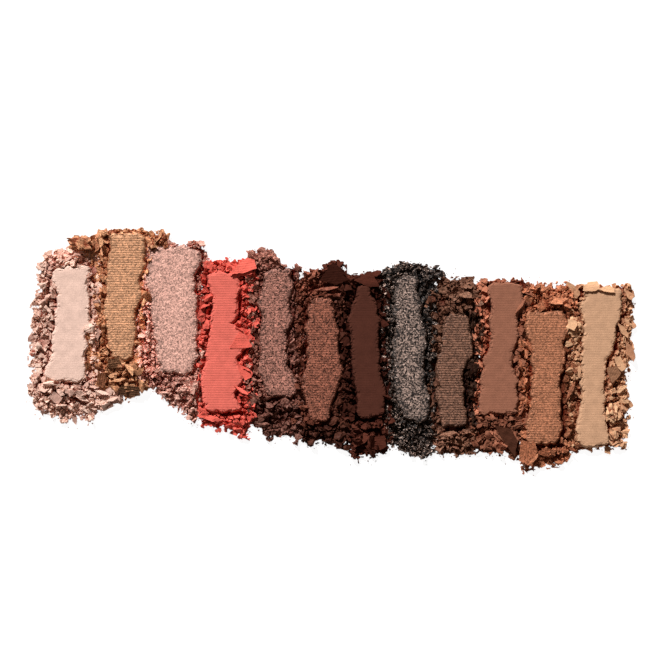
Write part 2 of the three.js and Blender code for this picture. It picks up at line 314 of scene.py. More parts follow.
class Strip:
    """The plan of one strip and its banks, in millimetres, read from the CAD nodes."""

    def __init__(self, shade, seed):
        self.shade = shade
        self.seed = seed
        self.name = shade.name
        low, high = node_box(f"{shade.name}_strip")
        self.foot, self.head, self.top = low[1], high[1], high[2]
        corners = np.array([v.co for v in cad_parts[f"{shade.name}_strip"].data.vertices]) / MM
        self.foot_x = end_span(corners, self.foot)
        self.head_x = end_span(corners, self.head)
        self.reaches = {
            1: node_box(f"{shade.name}_head_bank")[1][1] - self.head,
            -1: self.foot - node_box(f"{shade.name}_foot_bank")[0][1],
        }
        self.neighbours = {-1: None, 1: None}

    def trace(self):
        """Works out the strip's edges, borders and reaches along fine lines, once it has neighbours."""
        self.y_line = np.arange(self.foot - 15, self.head + 15, LINE_STEP)
        low, high = min(self.foot_x[0], self.head_x[0]), max(self.foot_x[1], self.head_x[1])
        self.x_line = np.arange(low - 8, high + 8, LINE_STEP)
        self.edges = {side: self.ragged_edge(side, self.y_line) for side in (-1, 1)}
        self.borders = {side: self.ragged_border(side, self.y_line) for side in (-1, 1)}
        self.ends = {end: self.ragged_reach(end, self.x_line) for end in (-1, 1)}

    def plain_edge(self, side, y):
        """x of the strip's straight edge line at y."""
        along = (y - self.foot) / (self.head - self.foot)
        pick = 0 if side < 0 else 1
        return self.foot_x[pick] + (self.head_x[pick] - self.foot_x[pick]) * along

    def ragged_edge(self, side, y):
        """x where the pressed face has broken back to."""
        broken = self.shade.left if side < 0 else self.shade.right
        steps = np.linspace(self.foot, self.head, len(broken))
        rng = np.random.default_rng([self.seed, side + 2])
        inward = np.interp(y, steps, broken) - EDGE_COVER
        inward += broken_line(y, 2.4, 0.6, rng) + broken_line(y, 0.8, 0.25, rng)
        return self.plain_edge(side, y) - side * inward

    def ragged_border(self, side, y):
        """x where the strip's own powder ends: half-way to its neighbour, or at the outside."""
        rough = line_noise(y, 3.0, self.seed * 13 + side + 5, 4)
        other = self.neighbours[side]
        if other is None:
            reach = OUTER_REACH + 1.0 * line_noise(y, 6.0, self.seed + 40, 3) + 0.6 * rough
            return self.plain_edge(side, y) + side * reach
        middle = (self.plain_edge(side, y) + other.plain_edge(-side, y)) / 2
        spill = self.free(side, y) * np.clip(0.6 + 1.2 * rough, 0.2, None)
        return middle + 0.45 * rough + side * spill

    def ragged_reach(self, end, x):
        """How far the powder reaches past an end at x, worked out from the CAD banks."""
        left, right = self.head_x if end > 0 else self.foot_x
        pick = 0 if end > 0 else 1
        across = np.clip((2 * x - left - right) / (right - left), -1.2, 1.2)
        share = self.shade.reach[pick] * (1 + self.shade.slant[pick] * across)
        rough = 0.2 * line_noise(x, 3.0, self.seed * 17 + end + 9, 3)
        return np.maximum(self.reaches[end] * (share + rough), 0.7)

    def free(self, side, y):
        """1 where nothing lies beside this side of the strip at y, falling to 0 beside a neighbour."""
        other = self.neighbours[side]
        if other is None:
            return np.ones_like(y)
        above = smoothstep(other.head + 0.5 * other.reaches[1], other.head + other.reaches[1] + 1, y)
        below = smoothstep(other.foot - 0.5 * other.reaches[-1], other.foot - other.reaches[-1] - 1, y)
        return np.maximum(above, below)

    def edge(self, side, y):
        return np.interp(y, self.y_line, self.edges[side])

    def border(self, side, y):
        return np.interp(y, self.y_line, self.borders[side])

    def reach(self, end, x):
        """How far the powder reaches past the head (1) or the foot (-1) at x."""
        return np.interp(x, self.x_line, self.ends[end])

    def edge_angle(self, y):
        """The direction of the pressed face's nearest edge: along X past its ends, else along its side."""
        length = self.head - self.foot
        side = np.arctan2(length, self.head_x[0] - self.foot_x[0])
        return np.where((y > self.head) | (y < self.foot), 0.0, side)

    def inside(self, x, y):
        """How far inside the pressed face's outline a place lies; negative outside."""
        held = np.clip(y, self.foot, self.head)
        across = np.minimum(x - self.edge(-1, held), self.edge(1, held) - x)
        return np.minimum(across, np.minimum(self.head - y, y - self.foot))

    def spread(self, x, y):
        """How far out in the banks a place lies: 0 at the pressed face, 1 where the powder ends."""
        held = np.clip(y, self.foot, self.head)
        sideways = np.full(np.shape(x), -1.0)
        for side in (-1, 1):
            width = np.maximum(side * (self.border(side, y) - self.edge(side, held)), NARROWEST)
            share = side * (x - self.edge(side, held)) / width
            sideways = np.maximum(sideways, share * (SEAM_SHARE + (1 - SEAM_SHARE) * self.free(side, y)))
        past_head = (y - self.head) / self.reach(1, x)
        past_foot = (self.foot - y) / self.reach(-1, x)
        lengthwise = np.maximum(past_head, past_foot)
        outward = np.hypot(np.clip(sideways, 0, None), np.clip(lengthwise, 0, None))
        return np.where(outward > 0, outward, np.maximum(sideways, lengthwise))


def node_box(name):
    """The lowest and highest corner of a CAD node, in millimetres."""
    low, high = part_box(name)
    return np.array(low) / MM, np.array(high) / MM


def end_span(corners, y):
    """The lowest and highest x of the corners that lie at y."""
    at_end = corners[np.abs(corners[:, 1] - y) < 0.01]
    return at_end[:, 0].min(), at_end[:, 0].max()


def lay_out():
    strips = [Strip(shade, 11 + place) for place, shade in enumerate(SHADES)]
    for left, right in zip(strips, strips[1:]):
        left.neighbours[1] = right
        right.neighbours[-1] = left
    for strip in strips:
        strip.trace()
    return strips


# ---------------------------------------------------------------- meshes from arrays


def add_object(name, data):
    thing = bpy.data.objects.new(name, data)
    bpy.context.scene.collection.objects.link(thing)
    return thing


class Heap:
    """Gathers triangles, with a tone and a glow for each vertex that carry random variation and painted
    light and shade, and makes one mesh object of them.
    """

    def __init__(self, smooth=False):
        self.points = []
        self.triangles = []
        self.tones = []
        self.glows = []
        self.smooth = smooth
        self.count = 0

    def add(self, points, triangles, tones, glow=1.0):
        self.points.append(points)
        self.triangles.append(triangles + self.count)
        self.tones.append(tones)
        self.glows.append(np.full(len(points), glow))
        self.count += len(points)

    def make(self, name, material, glow_at=None):
        """glow_at is a function of arrays x and y, in millimetres, that the glows are multiplied by."""
        points = np.concatenate(self.points)
        glows = np.concatenate(self.glows)
        if glow_at:
            glows *= glow_at(points[:, 0], points[:, 1])
        points *= MM
        triangles = np.concatenate(self.triangles)
        mesh = bpy.data.meshes.new(name)
        mesh.vertices.add(len(points))
        mesh.vertices.foreach_set("co", points.astype(np.float32).ravel())
        mesh.loops.add(triangles.size)
        mesh.loops.foreach_set("vertex_index", triangles.astype(np.int32).ravel())
        mesh.polygons.add(len(triangles))
        mesh.polygons.foreach_set("loop_start", np.arange(0, triangles.size, 3, dtype=np.int32))
        mesh.polygons.foreach_set("use_smooth", np.full(len(triangles), self.smooth))
        for key, values in (("tone", np.concatenate(self.tones)), ("glow", glows)):
            attribute = mesh.attributes.new(key, "FLOAT", "POINT")
            attribute.data.foreach_set("value", values.astype(np.float32))
        mesh.update(calc_edges=True)
        mesh.validate()
        mesh.materials.append(material)
        return add_object(name, mesh)


def quads_to_triangles(quads):
    return np.concatenate([quads[:, [0, 1, 2]], quads[:, [0, 2, 3]]])


def grid_quads(columns, rows):
    """Quads of a grid whose vertex number is row * columns + column, facing +Z."""
    column, row = np.meshgrid(np.arange(columns - 1), np.arange(rows - 1))
    first = (row * columns + column).ravel()
    return np.stack([first, first + 1, first + columns + 1, first + columns], axis=1)


def grid_ring(columns, rows):
    """The numbers of a grid's border vertices, anticlockwise from above."""
    bottom = np.arange(columns)
    right = np.arange(1, rows) * columns + columns - 1
    top = (rows - 1) * columns + np.arange(columns - 2, -1, -1)
    left = np.arange(rows - 2, 0, -1) * columns
    return np.concatenate([bottom, right, top, left])


def wall_quads(upper, lower):
    """Quads between two rings of vertex numbers that both run anticlockwise from above."""
    return np.stack([lower, np.roll(lower, -1), np.roll(upper, -1), upper], axis=1)


def fan(ring, middle):
    """Triangles that close a ring from below round a middle vertex."""
    return np.stack([np.roll(ring, -1), ring, np.full(len(ring), middle)], axis=1)


def outward(ring_points):
    """Unit vectors in plan that point out of an anticlockwise ring."""
    along = np.roll(ring_points, -2, axis=0) - np.roll(ring_points, 2, axis=0)
    out = np.stack([along[:, 1], -along[:, 0]], axis=1)
    return out / np.maximum(np.linalg.norm(out, axis=1, keepdims=True), 1e-6)


# ---------------------------------------------------------------- the pressed strip


def rib_wave(points, strength, wear, seed):
    """Height of the ribs that the pressing cloth left: strong or worn away from place to place."""
    x, y = points[:, 0], points[:, 1]
    sway = 0.5 * smooth_noise(points, 7.0, seed + 3)
    rib = np.cos(2 * math.pi * y / RIB_PITCH + sway)
    thread = np.cos(2 * math.pi * x / THREAD_PITCH + math.pi * np.floor(y / RIB_PITCH))
    kept = smoothstep(wear - 1.0, wear - 0.2, fractal(points, 9.0, seed + 4) + 0.35)
    return strength * kept * (RIB_HEIGHT * rib + THREAD_HEIGHT * thread)


def strip_surface(strip, x, y):
    """Height of the pressed face at x, y, before its edges crumble."""
    shade = strip.shade
    points = np.stack([x, y, np.zeros_like(x)], axis=1)
    height = strip.top + 0.05 * fractal(points, 8.0, strip.seed)
    height += GRAIN_HEIGHT[shade.finish] * fractal(points, 0.55, strip.seed + 1)
    return height + rib_wave(points, shade.ribs, shade.wear, strip.seed)


def strip_plan(strip):
    """x and y of the strip's grid, which follows its ragged edges."""
    length = strip.head - strip.foot
    width = abs(strip.plain_edge(1, strip.foot) - strip.plain_edge(-1, strip.foot))
    columns = round(width / COLUMN_STEP)
    rows = round(length / ROW_STEP)
    across = np.linspace(0, 1, columns)
    u, v = np.meshgrid(across, np.linspace(0, 1, rows))
    rng = np.random.default_rng([strip.seed, 9])
    ends = {}
    for end in (-1, 1):
        rough = broken_line(across * width, 2.2, 0.6, rng) + broken_line(across * width, 0.7, 0.2, rng)
        ends[end] = rough + 1.2 * np.abs(2 * across - 1) ** 5
    y = strip.foot + v * length + ends[-1] * (1 - v) ** 6 - ends[1] * v**6
    left = strip.edge(-1, y)
    right = strip.edge(1, y)
    return left + (right - left) * u, y, u, v, columns, rows


def broken_rim(strip, x, y, near_edge):
    """What cracks and loosened fragments add to the pressed face's height close to its edges."""
    size = 1.3 * strip.shade.crumb
    crack, cell, middle_x, middle_y = fragments(x, y, size, strip.seed + 6)
    loose = near_edge * (0.5 + 0.5 * lattice(cell, strip.seed + 7))
    tilt = tilted(cell, x - middle_x, y - middle_y, strip.seed + 8)
    lift = 0.2 * lattice(cell, strip.seed + 10) + 0.22 * tilt - 0.1
    return loose * (lift - 0.3 * np.exp(-(crack / 0.2) ** 2))


def pressed_face(strip, x, y, from_edge):
    """The points of the pressed face, which falls off and crumbles towards its edges."""
    points = np.stack([x, y, strip_surface(strip, x, y)], axis=1)
    crumbling = 0.55 + 0.4 * fractal(points, 1.6, strip.seed + 5)
    fall = np.clip(1 - from_edge / np.maximum(crumbling, 0.15), 0, 1)
    points[:, 2] -= 0.5 * fall**2
    points[:, 2] += broken_rim(strip, x, y, smoothstep(1.4, 0.1, from_edge))
    return points


def wall_layers(strip, rim):
    """Rings of points under the face's rim, down to the ground, rough and a little wider downwards."""
    out = outward(rim[:, :2])
    layers = []
    for level in range(1, WALL_LEVELS + 1):
        share = level / WALL_LEVELS
        layer = rim.copy()
        layer[:, 2] *= 1 - share
        rough = fractal(layer, 0.9, strip.seed + 7)
        layer[:, :2] += out * (WALL_ROUGHNESS * (rough + share))[:, None]
        layers.append(layer)
    return layers


def strip_tones(strip, points, face, from_edge):
    """The tones of a strip's points: painted shade deeper down its walls and, by finish, darker near its
    face's edges.
    """
    tones = 1 - 0.12 * smoothstep(0.0, 0.5, strip.top - points[:, 2])
    patchy = 0.6 + 0.7 * fractal(face, 1.5, strip.seed + 15)
    fading = EDGE_FADING[strip.shade.finish]
    tones[: len(face)] -= fading * smoothstep(3.2, 0.0, from_edge) * np.clip(patchy, 0, 1)
    return tones


def make_strip(strip, material):
    """A pressed strip as one closed mesh: its face, its walls and its underside."""
    x, y, u, v, columns, rows = strip_plan(strip)
    width = strip.edge(1, y) - strip.edge(-1, y)
    from_edge = np.minimum(np.minimum(u, 1 - u) * width, np.minimum(v, 1 - v) * (strip.head - strip.foot))
    x, y, from_edge = x.ravel(), y.ravel(), from_edge.ravel()
    face = pressed_face(strip, x, y, from_edge)
    ring = grid_ring(columns, rows)
    middle = [[(x.min() + x.max()) / 2, (y.min() + y.max()) / 2, 0]]
    points = np.concatenate([face, *wall_layers(strip, face[ring]), middle])
    rings = [ring]
    for level in range(WALL_LEVELS):
        rings.append(np.arange(len(ring)) + len(face) + level * len(ring))
    triangles = [quads_to_triangles(grid_quads(columns, rows))]
    for upper, lower in zip(rings, rings[1:]):
        triangles.append(quads_to_triangles(wall_quads(upper, lower)))
    triangles.append(fan(rings[-1], len(points) - 1))
    heap = Heap(smooth=True)
    heap.add(points, np.concatenate(triangles), strip_tones(strip, points, face, from_edge))
    return heap.make(f"{strip.name}_pressed_strip", material)


# ---------------------------------------------------------------- crumbs


def hulled(shard):
    """Wraps a splinter's corners in a closed triangle mesh, without those that lie inside it."""
    bmesh.ops.convex_hull(shard, input=shard.verts)
    inside = [vertex for vertex in shard.verts if not vertex.link_faces]
    bmesh.ops.delete(shard, geom=inside, context="VERTS")
    bmesh.ops.triangulate(shard, faces=shard.faces)
    return shard


def hull_shard(rng, corners, squash):
    """A convex splinter with the given number of random corners, of unit size."""
    shard = bmesh.new()
    for place in rng.uniform(-0.5, 0.5, (corners, 3)) * squash:
        shard.verts.new(place)
    return hulled(shard)


def plate_shard(rng, corners, squash):
    """A flat splinter: an uneven polygon with a smaller one under it."""
    shard = bmesh.new()
    angles = (np.arange(corners) + rng.uniform(-0.35, 0.35, corners)) / corners * 2 * math.pi
    for level, inset in ((0.5, 1.0), (-0.5, 0.8)):
        reach = rng.uniform(0.36, 0.56, corners) * inset
        heights = level + rng.uniform(-0.22, 0.22, corners)
        for x, y, z in zip(np.cos(angles) * reach, np.sin(angles) * reach, heights):
            shard.verts.new(np.array([x, y, z]) * squash)
    return hulled(shard)


def shard_arrays(shard):
    shard.verts.index_update()
    bmesh.ops.recalc_face_normals(shard, faces=shard.faces)
    points = np.array([vertex.co for vertex in shard.verts])
    triangles = np.array([[vertex.index for vertex in face.verts] for face in shard.faces])
    shard.free()
    return points, triangles


def rough_shard(shard, rng, cuts, roughness):
    """The arrays of a splinter whose faces are broken up, as powder breaks."""
    bmesh.ops.subdivide_edges(shard, edges=shard.edges, cuts=cuts, use_grid_fill=True)
    bmesh.ops.triangulate(shard, faces=shard.faces)
    points, triangles = shard_arrays(shard)
    seed = int(rng.integers(1, 9999))
    for axis in range(3):
        points[:, axis] += roughness * fractal(points, 0.22, seed + axis)
    return points, triangles


# How each form of splinter is broken off, its number of corners and its size along X, Y and Z.
SHARD_FORMS = {
    "flat": (plate_shard, 6, np.array([1.0, 0.8, 0.26])),
    "block": (hull_shard, 12, np.array([1.0, 0.85, 0.65])),
    "sliver": (plate_shard, 5, np.array([1.25, 0.36, 0.2])),
}


def new_shard(kind, form, rng):
    """The arrays of one splinter of a kind and form; the finest kind is left unbroken."""
    break_off, corners, squash = SHARD_FORMS[form]
    squash = squash * np.array([1, 1, kind.thinness])
    if kind.cuts == 0:
        return shard_arrays(break_off(rng, corners - 1, squash))
    return rough_shard(break_off(rng, corners, squash), rng, kind.cuts, kind.roughness)


def make_shards():
    """The stock of splinters that all crumbs are copies of, by the name of the kind and the form."""
    rng = np.random.default_rng(5)
    stock = {}
    for form in SHARD_FORMS:
        for name, kind in CRUMB_KINDS.items():
            stock[name, form] = [new_shard(kind, form, rng) for _ in range(kind.copies)]
    return stock


def turns(rng, tilt, edge_angles):
    """Rotation matrices: any turn about Z and any tilt, but more than half of them along the edge."""
    count = len(edge_angles)
    follows = rng.uniform(0, 1, count) < 0.6
    spin = np.where(follows, rng.normal(0, 0.5, count), rng.uniform(0, 2 * math.pi, count))
    way = np.where(follows, rng.normal(edge_angles, 0.45), rng.uniform(0, 2 * math.pi, count))
    lean = rng.normal(0, tilt, count)
    return turns_about(2, way) @ turns_about(0, lean) @ turns_about(2, spin)


def turns_about(axis, angles):
    """Rotation matrices about one axis: 0 for X or 2 for Z."""
    first, second = (axis + 1) % 3, (axis + 2) % 3
    matrices = np.zeros((len(angles), 3, 3))
    matrices[:, axis, axis] = 1
    matrices[:, first, first] = np.cos(angles)
    matrices[:, first, second] = -np.sin(angles)
    matrices[:, second, first] = np.sin(angles)
    matrices[:, second, second] = np.cos(angles)
    return matrices


def painted_depth_shade(z, level):
    """Painted shade: powder deep below its bank's level is painted deeper in colour, as if shaded from
    above.
    """
    return 1 - smoothstep(0.0, PAINTED_SHADE_DEPTH, level - z)


def painted_light_and_mix(strip, x, y):
    """How bright a strip's banks are at x, y: painted light and shade past its head, painted shadow past its
    foot, and beside it partly its neighbours' powder mixed in and partly painted light and shade in the
    seams.
    """
    shade = strip.shade
    past_head = smoothstep(-0.5, 1.5, y - strip.head)
    past_foot = smoothstep(-0.5, 1.5, strip.foot - y)
    middle = (strip.plain_edge(-1, y) + strip.plain_edge(1, y)) / 2
    beside = np.where(x < middle, *shade.side_mix_and_shade) * (1 - past_head - past_foot)
    return beside + shade.head_painted_light * past_head + shade.foot_painted_shadow * past_foot


def scatter(heap, stock, kind, places, levels, sizes, strip, rng):
    """Adds one crumb at each place (n, 3), in a bank of the given levels, no lower than the ground."""
    flaky = strip.shade.flaky
    odds = [0.68 * flaky, 1 - 0.9 * flaky, 0.22 * flaky]
    forms = rng.choice(["flat", "block", "sliver"], len(places), p=odds)
    picks = rng.integers(0, 1000, len(places))
    tilts = {"flat": 0.6, "block": 1.5, "sliver": 0.5}
    tones = np.clip(rng.normal(0.95, 0.2, len(places)), 0.4, 1.25)
    angles = strip.edge_angle(places[:, 1])
    for form, tilt in tilts.items():
        family = stock[kind, form]
        for number, (points, triangles) in enumerate(family):
            chosen = np.flatnonzero((forms == form) & (picks % len(family) == number))
            if not len(chosen):
                continue
            spins = turns(rng, tilt, angles[chosen])
            moved = np.einsum("nij,vj->nvi", spins, points) * sizes[chosen, None, None]
            lowest, highest = moved[:, :, 2].min(axis=1), moved[:, :, 2].max(axis=1)
            ceiling = strip.top + CRUMB_HEADROOM - highest
            heights = np.maximum(np.minimum(places[chosen, 2], ceiling), -lowest)
            moved[:, :, :2] += places[chosen, None, :2]
            moved[:, :, 2] += heights[:, None]
            steps = np.arange(len(chosen))[:, None, None] * len(points)
            moved = moved.reshape(-1, 3)
            tone = np.repeat(tones[chosen], len(points))
            # Painted shade: crumbs low in the bank are painted deeper in colour.
            tone *= painted_depth_shade(moved[:, 2], np.repeat(levels[chosen], len(points)))
            corners = (triangles[None] + steps).reshape(-1, 3)
            heap.add(moved, corners, tone)


# ---------------------------------------------------------------- banks of broken powder


def zone_box(strip, zone):
    """The lowest and highest x and y of a strip's head, foot or side banks."""
    inset, margin = 0.4, 2.0
    lefts, rights = strip.borders[-1], strip.borders[1]
    if zone == "side":
        along = (strip.y_line > strip.foot) & (strip.y_line < strip.head)
        return lefts[along].min() - margin, rights[along].max() + margin, strip.foot, strip.head
    end = 1 if zone == "head" else -1
    edge_y = strip.head if end > 0 else strip.foot
    near, far = edge_y - end * inset, edge_y + end * (strip.ends[end].max() + margin)
    along = (strip.y_line > min(near, far)) & (strip.y_line < max(near, far))
    return lefts[along].min() - margin, rights[along].max() + margin, min(near, far), max(near, far)


def bank_level(strip, share):
    """Height of a bank from the pressed face (share 0) to where it ends (share 1)."""
    return strip.top * (0.98 - 0.8 * np.clip(share, 0, 1) ** 1.7)


def dug_out(strip, x, y):
    """How much a bank is hollowed close to the pressed face, most past its foot and on its right."""
    gap = -strip.inside(x, y)
    lee = (y < strip.foot) | (x > strip.edge(1, y))
    patchy = plan_noise(x, y, 5.0, strip.seed + 90)
    depth = np.clip(strip.shade.hollow * (0.3 + 0.25 * lee + 0.7 * patchy), 0, 0.9)
    return depth * np.exp(-(((gap - 0.5) / 0.8) ** 2))


def fissure(strip, x, y, share):
    """How much a bank has cracked open along a line that wanders beside the pressed face."""
    wander = plan_noise(x, y, 4.5, strip.seed + 95)
    open_here = smoothstep(-0.25, 0.3, plan_noise(x, y, 6.0, strip.seed + 97))
    across = (share - 0.5 - 0.3 * wander) / 0.09
    return np.clip(strip.shade.hollow, 0, 1.2) * 0.7 * open_here * np.exp(-(across**2))


def crust(strip, x, y):
    """Height of the broken crust at x, y, and the bank share of the fragment that the place is on."""
    seed = strip.seed + 100
    warp_x = 0.7 * plan_noise(x, y, 2.2, seed)
    warp_y = 0.7 * plan_noise(x, y, 2.2, seed + 50)
    slump_crack, cell, middle_x, middle_y = fragments(x + warp_x, y + warp_y, SLUMP, seed + 20)
    slump = 0.4 * lattice(cell, seed + 21) - 0.8 * np.exp(-(slump_crack / 0.3) ** 2)
    slump += 0.2 * tilted(cell, x - middle_x, y - middle_y, seed + 22)
    size = FRAGMENT * strip.shade.crumb
    crack, cell, middle_x, middle_y = fragments(x + warp_x, y + warp_y, size, seed + 1)
    share = strip.spread(middle_x - warp_x, middle_y - warp_y)
    level = bank_level(strip, share) * (0.86 + 0.26 * lattice(cell, seed + 2))
    level += 0.55 * tilted(cell, x - middle_x, y - middle_y, seed + 3)
    level += slump * smoothstep(0, 0.3, share)
    level *= 0.25 + 0.75 * smoothstep(0.0, 0.34, crack)
    level *= (1 - dug_out(strip, x, y)) * (1 - fissure(strip, x, y, share))
    size = SPLINTER * strip.shade.crumb
    crack, cell, middle_x, middle_y = fragments(x - warp_x, y, size, seed + 5)
    fine = 0.16 * lattice(cell, seed + 6) - 0.2 * np.exp(-(crack / 0.1) ** 2)
    fine += 0.6 * lattice(cell, seed + 7) * (x - warp_x - middle_x)
    fine += 0.6 * lattice(cell, seed + 8) * (y - middle_y)
    fine += 0.12 * plan_noise(x, y, 0.5, seed + 60)
    level += fine * (0.35 + 0.65 * smoothstep(0.1, 0.5, share))
    level *= 1 - 0.5 * smoothstep(0.0, 0.6, strip.inside(x, y))
    return np.maximum(level, 0.12), share


def add_crust(heap, strip, zone):
    """The body of a bank: broken powder that lies packed together, closed underneath."""
    left, right, low, high = zone_box(strip, zone)
    line_x = np.linspace(left, right, round((right - left) / CRUST_STEP))
    line_y = np.linspace(low, high, round((high - low) / CRUST_STEP))
    x, y = np.meshgrid(line_x, line_y)
    height, share = crust(strip, x, y)
    kept = (share < 1) & (strip.inside(x, y) < 1.0)
    # Painted shade: the crust is painted deeper in colour where it lies low.
    add_block(heap, x, y, height, kept, painted_depth_shade(height, bank_level(strip, strip.spread(x, y))))


def add_block(heap, x, y, height, kept, tones):
    """A closed block with the given height over the kept places of a grid."""
    quads = grid_quads(x.shape[1], x.shape[0])
    quads = quads[kept.ravel()[quads].all(axis=1)]
    used, quads = np.unique(quads, return_inverse=True)
    quads = quads.reshape(-1, 4)
    plan = np.stack([x.ravel()[used], y.ravel()[used]], axis=1)
    top = np.column_stack([plan, height.ravel()[used]])
    bottom = np.column_stack([plan, np.zeros(len(plan))])
    edges = np.concatenate([quads[:, [0, 1]], quads[:, [1, 2]], quads[:, [2, 3]], quads[:, [3, 0]]])
    keys = set(map(tuple, edges))
    rim = np.array([edge for edge in edges if (edge[1], edge[0]) not in keys])
    count = len(plan)
    walls = np.stack([rim[:, 0] + count, rim[:, 1] + count, rim[:, 1], rim[:, 0]], axis=1)
    under = quads[:, ::-1] + count
    triangles = quads_to_triangles(np.concatenate([quads, walls, under]))
    # The bottom gets tone 0, the deepest painted shade, so the walls are painted darker towards the ground.
    tones = np.concatenate([tones.ravel()[used], np.zeros(count)])
    heap.add(np.concatenate([top, bottom]), triangles, tones)


def pick_places(strip, zone, kind, rng):
    """Random places for loose crumbs of a kind on a zone's banks, thinning out past their ends."""
    left, right, low, high = zone_box(strip, zone)
    rule = CRUMB_KINDS[kind]
    density = rule.density / strip.shade.crumb**2
    count = round((right - left) * (high - low) * density)
    x = rng.uniform(left, right, count)
    y = rng.uniform(low, high, count)
    share = strip.spread(x, y)
    reached = share < 1 + rule.stray * rng.exponential(1.0, count)
    kept = reached & (strip.inside(x, y) < rng.uniform(-0.3, rule.overlap, count))
    x, y = x[kept], y[kept]
    height, block_share = crust(strip, x, y)
    height = np.where(block_share < 1, height, 0)
    return np.stack([x, y, height], axis=1)


def fill_zone(heap, stock, strip, zone, rng):
    """Scatters every kind of loose crumb over a zone's banks."""
    for kind, rule in CRUMB_KINDS.items():
        places = pick_places(strip, zone, kind, rng)
        low, high = rule.size
        sizes = strip.shade.crumb * low * (high / low) ** (rng.uniform(0, 1, len(places)) ** 1.5)
        places[:, 2] += rng.uniform(-0.12, 0.22, len(places)) * sizes
        levels = bank_level(strip, strip.spread(places[:, 0], places[:, 1]))
        scatter(heap, stock, kind, places, levels, sizes, strip, rng)


# ---------------------------------------------------------------- broken flakes of the pressed face

SECTORS = 72
TOP_RINGS = 12
SIDE_RINGS = 3
FLAKE_THICKNESS = 0.75
LEAST_RIBS = 0.3
SMALL_FLAKE_SIZE = (2.2, 4.4)

# Corners of the flakes seen from above, as shares of half their length and width.
OUTLINES = {
    "tooth": [(-1, -1), (0.1, 1), (0.4, 0.2), (1, -0.8), (0.5, -1)],
    "wedge": [(-1, -0.9), (-0.1, 0.6), (0.4, 1), (0.9, 0.5), (1, -0.6), (0, -1)],
    "tent": [(-1, -0.5), (-0.2, 0.8), (0.1, 1), (0.5, 0.3), (1, -0.7), (0.1, -1)],
    "kite": [(-1, 0.6), (0, 1), (0.7, 0.3), (1, -1), (0.2, -0.5)],
    "tile": [(-1, -0.7), (-0.8, 0.8), (0.9, 1), (1, -0.6), (0.3, -1)],
    "splinter": [(-1, -0.3), (-0.3, 0.9), (0.6, 1), (1, 0.1), (0.2, -1)],
}


@dataclass
class Flake:
    """A large broken piece: an outline's name for a flat one, "lump" for a rough block, or "mound".

    x and y are its middle from the middle of the CAD flake, or in the row's frame for one in a bank.
    length and width are its size before it is tilted about its length and turned about Z, in degrees.
    lift is how far its lowest corner, or a mound's top, is above the pressed face's level. tone and glow
    are how light and how bright its powder is, and paint shade on flakes that lie in shadow and highlights
    on lit ones; a mound has the tone and glow of its bank.
    """

    form: str
    x: float
    y: float
    length: float
    width: float
    turn: float = 0.0
    tilt: float = 0.0
    lift: float = -0.6
    tone: float = 1.0
    glow: float = 1.0


# What each loose flake of the CAD model has broken into.
LOOSE = {
    "gold_corner_flake": [
        Flake("lump", -0.4, -0.2, 6.4, 3.4, tone=0.75),
        Flake("tent", 0.6, 0.6, 4.6, 3.0, turn=-8, tilt=-25, tone=0.95),
        Flake("kite", 5.0, 0.2, 3.4, 2.2, turn=-55, tilt=-20, tone=1.2),
    ],
    "gold_head_chunk": [
        Flake("lump", 0.2, 0.8, 4.0, 3.4, turn=40, lift=-0.8, tone=0.6),
        Flake("lump", -2.0, -0.6, 2.6, 3.0, turn=10, lift=-0.8, tone=0.8),
        Flake("lump", 1.8, -1.2, 2.6, 2.4, turn=70, lift=-1.0, tone=0.5),
        Flake("splinter", 0.6, 1.0, 3.6, 1.3, turn=60, tilt=-30, lift=0.1, tone=0.8),
    ],
    "gold_foot_flake": [
        Flake("tile", -0.4, 0.8, 3.8, 3.2, turn=10, tilt=22, tone=0.9, glow=0.5),
        Flake("kite", 3.9, -1.4, 3.6, 3.2, turn=-20, tilt=-15, tone=1.15),
        Flake("lump", 1.6, -0.6, 2.0, 1.8, tone=0.8),
    ],
    "rose_foot_chunk": [
        Flake("lump", 0.6, 0.6, 3.2, 4.4, turn=-15, lift=-0.8, tone=1.0),
        Flake("lump", -2.6, -0.4, 2.8, 2.4, turn=30, tone=0.9),
        Flake("lump", -0.8, -2.2, 3.0, 2.2, turn=-20, lift=-1.4, tone=0.85),
    ],
    "coral_head_flake": [
        Flake("wedge", -0.2, 0.4, 8.0, 4.4, turn=8, tilt=-8, lift=-0.5, tone=1.12),
        Flake("tile", -0.6, -1.4, 6.6, 2.4, turn=4, tilt=-6, lift=-0.8, tone=1.0),
    ],
    "coral_side_flake": [
        Flake("tooth", -1.0, 0.5, 6.6, 6.2, lift=-0.75),
    ],
    "rose_bronze_head_chunk": [
        Flake("lump", -3.2, 1.2, 2.6, 3.0, turn=10, lift=-0.9, tone=1.2, glow=1.3),
        Flake("lump", 3.0, 0.6, 2.8, 2.6, turn=40, lift=-0.9, tone=1.2, glow=1.3),
        Flake("lump", -0.8, -0.4, 2.4, 2.2, turn=70, lift=-1.1, glow=1.1),
        Flake("lump", 1.0, -2.0, 2.8, 2.0, turn=-20, lift=-1.3, tone=0.9),
    ],
    "chocolate_head_flake": [
        Flake("tent", 0.0, -0.3, 8.8, 6.4, turn=6, tilt=14, lift=-0.4, tone=0.9, glow=0.55),
        Flake("splinter", 1.8, 0.8, 4.6, 1.6, turn=-42, tilt=25, lift=0.1, tone=0.8, glow=0.5),
    ],
    "chocolate_foot_flake": [
        Flake("tile", -4.4, 0.6, 5.4, 2.6, turn=32, tilt=-8, lift=-1.2, tone=1.1),
        Flake("tile", 0.4, 0.0, 5.0, 4.2, turn=4, tilt=10, lift=-1.3, tone=1.0),
    ],
    "rosewood_foot_flake": [
        Flake("kite", 0.6, -0.4, 9.6, 6.8, turn=-28, tilt=20, lift=-1.1, tone=0.8, glow=0.3),
    ],
    "beige_side_chunk": [
        Flake("lump", 0.0, 0.0, 3.8, 4.6, turn=12, lift=-1.2, tone=1.3),
        Flake("tile", -0.5, 0.2, 3.0, 2.8, turn=75, tilt=-12, lift=0.1, tone=1.25),
    ],
}

